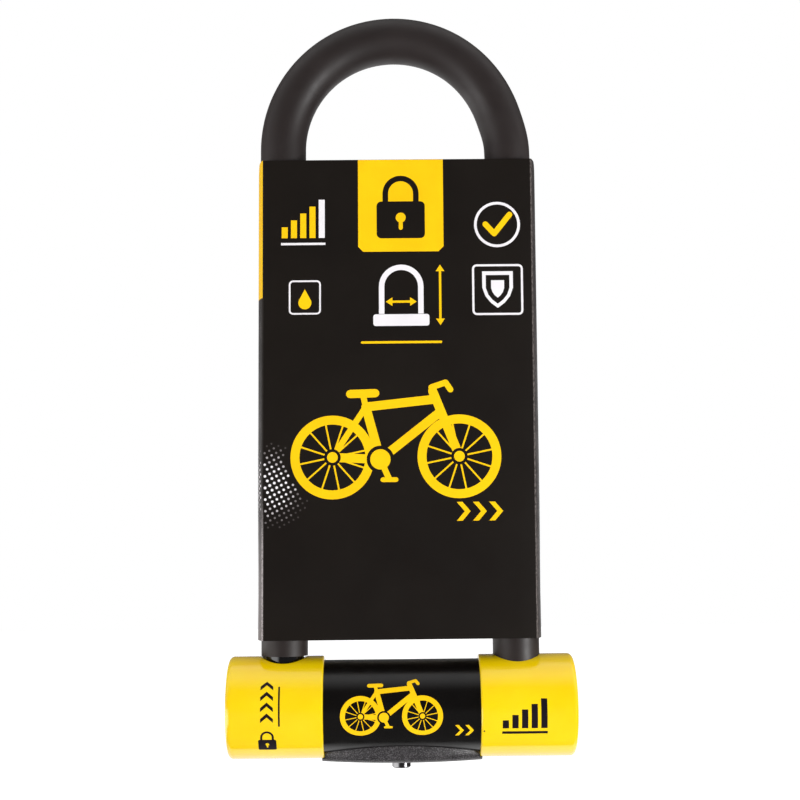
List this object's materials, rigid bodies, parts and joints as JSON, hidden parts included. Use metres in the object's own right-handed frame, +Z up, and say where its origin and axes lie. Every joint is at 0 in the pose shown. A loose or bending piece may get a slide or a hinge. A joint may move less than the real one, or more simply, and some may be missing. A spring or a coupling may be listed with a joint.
{
  "type": "u lock",
  "caption": "Bicycle U lock: a coated steel shackle in a straight crossbar with end caps, a double bolt keyhole housing and a retail card sleeve around the legs.",
  "frame": {"origin": "on the crossbar's axis, midway between the two legs", "axes": "+X along the crossbar to the right leg, +Y away from the card's front, +Z up the legs to the bow"},
  "size_m": [0.1613, 0.0474, 0.36],
  "materials": {
    "hardened_steel": "gloss black",
    "vinyl_coating": "satin black",
    "printed_card": "printed satin black",
    "yellow_plastic": "gloss",
    "black_plastic": "satin",
    "textured_plastic": "fine texture",
    "guide_plastic": "satin",
    "pad_rubber": "matt",
    "cast_case": "as cast",
    "cylinder_brass": "machined",
    "plated_steel": "satin",
    "chrome_plate": "polished"
  },
  "bodies": {
    "crossbar": {"crossbar_tube": "hardened_steel", "tube_plug_left": "hardened_steel", "tube_plug_right": "hardened_steel", "end_cap_left": "yellow_plastic", "end_cap_right": "yellow_plastic", "barrel_sleeve": "black_plastic", "keyhole_housing": "textured_plastic", "leg_guide_left": "guide_plastic", "leg_guide_right": "guide_plastic", "foot_pad_left": "pad_rubber", "foot_pad_right": "pad_rubber", "lock_case_lower": "cast_case", "lock_case_upper": "cast_case", "case_screws": "plated_steel", "case_dowels": "plated_steel", "cylinder_body": "cylinder_brass", "cylinder_pin": "plated_steel", "plug_circlip": "plated_steel", "dust_cover_washer": "plated_steel"},
    "key_plug": {"key_plug": "cylinder_brass", "anti_drill_disc": "plated_steel", "detainer_discs": "plated_steel", "disc_spacers": "cylinder_brass", "drive_cam": "plated_steel"},
    "sidebar": {"sidebar": "plated_steel"},
    "bolt_left": {"bolt_left": "plated_steel"},
    "bolt_right": {"bolt_right": "plated_steel"},
    "dust_cover": {"dust_cover": "chrome_plate"},
    "shackle": {"shackle_bar": "hardened_steel", "shackle_coating": "vinyl_coating"},
    "card": {"card_sleeve": "printed_card"}
  },
  "joints": [
    {"name": "key_turn", "type": "hinge", "parent": "crossbar", "child": "key_plug", "pos_m": [0, 0, -0.0105], "axis": [0, 0, 1], "range_deg": [0, 90]},
    {"name": "bolt_left_slide", "type": "slide", "parent": "crossbar", "child": "bolt_left", "axis": [-1, 0, 0], "range_m": [0, 0.006]},
    {"name": "bolt_right_slide", "type": "slide", "parent": "crossbar", "child": "bolt_right", "axis": [1, 0, 0], "range_m": [0, 0.006]},
    {"name": "sidebar_slide", "type": "slide", "parent": "key_plug", "child": "sidebar", "axis": [0, 1, 0], "range_m": [0, 0.0008]},
    {"name": "dust_cover_turn", "type": "hinge", "parent": "crossbar", "child": "dust_cover", "pos_m": [0, 0, -0.024], "axis": [0, 0, 1], "range_deg": [0, 180]},
    {"name": "shackle_lift", "type": "slide", "parent": "crossbar", "child": "shackle", "axis": [0, 0, 1], "range_m": [0, 0.06]},
    {"name": "card_slide", "type": "slide", "parent": "shackle", "child": "card", "axis": [0, 0, 1], "range_m": [-0.0074, 0.305]}
  ],
  "couplings": [
    {"joint": "key_turn", "follows": "bolt_left_slide", "rad_per_m": 261.8},
    {"joint": "bolt_right_slide", "follows": "bolt_left_slide", "ratio": 1}
  ]
}
